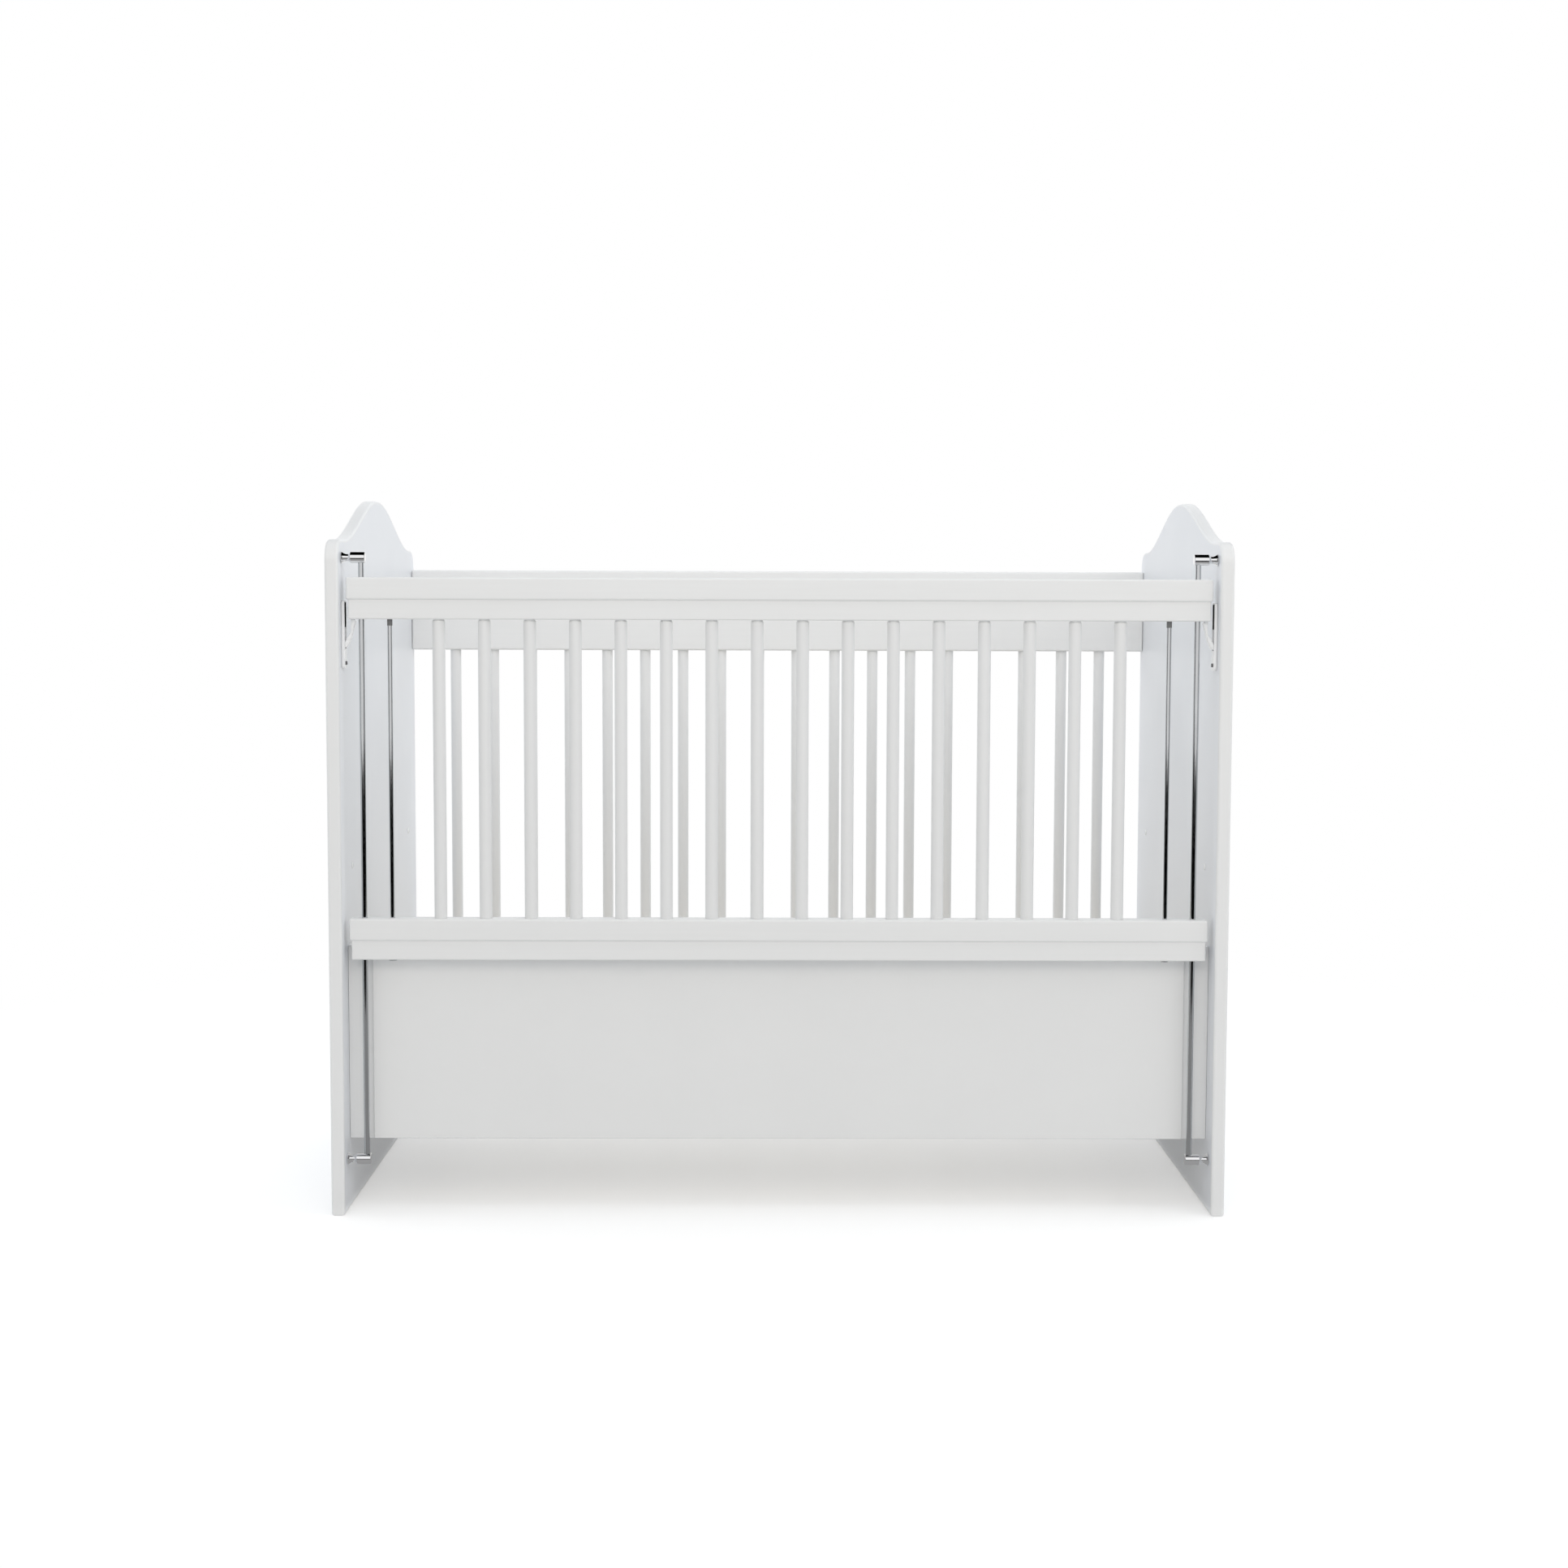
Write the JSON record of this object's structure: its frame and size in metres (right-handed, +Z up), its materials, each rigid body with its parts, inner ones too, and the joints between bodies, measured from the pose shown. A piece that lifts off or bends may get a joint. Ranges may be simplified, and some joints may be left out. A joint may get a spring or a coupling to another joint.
{
  "type": "convertible crib",
  "caption": "White crib with bell-topped end boards, a barred back, a slatted base and a drop side that slides down steel rods past sprung latches.",
  "frame": {"origin": "middle of the floor under the crib, at the centre of the bounding box's bottom", "axes": "+X to the right along the length as seen from the drop side, +Y to the back, +Z up; the drop side faces -Y"},
  "size_m": [1.253, 0.69, 1.01],
  "materials": {
    "white_lacquered_wood": "satin white lacquer",
    "natural_wood": "planed, unpainted",
    "chromed_steel": "bright chrome",
    "white_plastic": "moulded, slightly glossy",
    "zinc_plated_steel": "zinc plated"
  },
  "bodies": {
    "frame": {"end_board_left": "white_lacquered_wood", "end_board_right": "white_lacquered_wood", "back_rail_top": "white_lacquered_wood", "back_rail_bottom": "white_lacquered_wood", "lower_panel": "white_lacquered_wood", "panel_post_left": "white_lacquered_wood", "panel_post_right": "white_lacquered_wood", "back_bar_01": "white_lacquered_wood", "back_bar_02": "white_lacquered_wood", "back_bar_03": "white_lacquered_wood", "back_bar_04": "white_lacquered_wood", "back_bar_05": "white_lacquered_wood", "back_bar_06": "white_lacquered_wood", "back_bar_07": "white_lacquered_wood", "back_bar_08": "white_lacquered_wood", "back_bar_09": "white_lacquered_wood", "back_bar_10": "white_lacquered_wood", "back_bar_11": "white_lacquered_wood", "back_bar_12": "white_lacquered_wood", "back_bar_13": "white_lacquered_wood", "back_bar_14": "white_lacquered_wood", "back_bar_15": "white_lacquered_wood", "back_bar_16": "white_lacquered_wood", "back_bar_17": "white_lacquered_wood", "back_bar_18": "white_lacquered_wood", "mattress_base": "natural_wood", "base_bolt_front_left": "zinc_plated_steel", "base_bolt_front_right": "zinc_plated_steel", "base_bolt_back_left": "zinc_plated_steel", "base_bolt_back_right": "zinc_plated_steel", "guide_rod_left": "chromed_steel", "guide_rod_right": "chromed_steel", "rod_bracket_top_left": "chromed_steel", "rod_bracket_top_right": "chromed_steel", "rod_bracket_bottom_left": "chromed_steel", "rod_bracket_bottom_right": "chromed_steel", "latch_plate_left": "white_plastic", "latch_plate_right": "white_plastic"},
    "drop_side": {"drop_rail_top": "white_lacquered_wood", "drop_rail_bottom": "white_lacquered_wood", "drop_bar_01": "white_lacquered_wood", "drop_bar_02": "white_lacquered_wood", "drop_bar_03": "white_lacquered_wood", "drop_bar_04": "white_lacquered_wood", "drop_bar_05": "white_lacquered_wood", "drop_bar_06": "white_lacquered_wood", "drop_bar_07": "white_lacquered_wood", "drop_bar_08": "white_lacquered_wood", "drop_bar_09": "white_lacquered_wood", "drop_bar_10": "white_lacquered_wood", "drop_bar_11": "white_lacquered_wood", "drop_bar_12": "white_lacquered_wood", "drop_bar_13": "white_lacquered_wood", "drop_bar_14": "white_lacquered_wood", "drop_bar_15": "white_lacquered_wood", "drop_bar_16": "white_lacquered_wood", "steel_bar_left": "chromed_steel", "steel_bar_right": "chromed_steel"},
    "tongue_left": {"latch_tongue_left": "white_plastic"},
    "tongue_right": {"latch_tongue_right": "white_plastic"}
  },
  "joints": [
    {"name": "drop_side_slide", "type": "slide", "parent": "frame", "child": "drop_side", "axis": [0, 0, -1], "range_m": [0, 0.2759], "deforming": ["latch_tongue_left", "latch_tongue_right"]},
    {"name": "latch_press_left", "type": "hinge", "parent": "frame", "child": "tongue_left", "pos_m": [-0.6051, -0.315, 0.7952], "axis": [0, -1, 0], "range_deg": [0, 18], "stiffness_Nm_per_rad": 1},
    {"name": "latch_press_right", "type": "hinge", "parent": "frame", "child": "tongue_right", "pos_m": [0.6051, -0.315, 0.7952], "axis": [0, 1, 0], "range_deg": [0, 18], "stiffness_Nm_per_rad": 1}
  ]
}
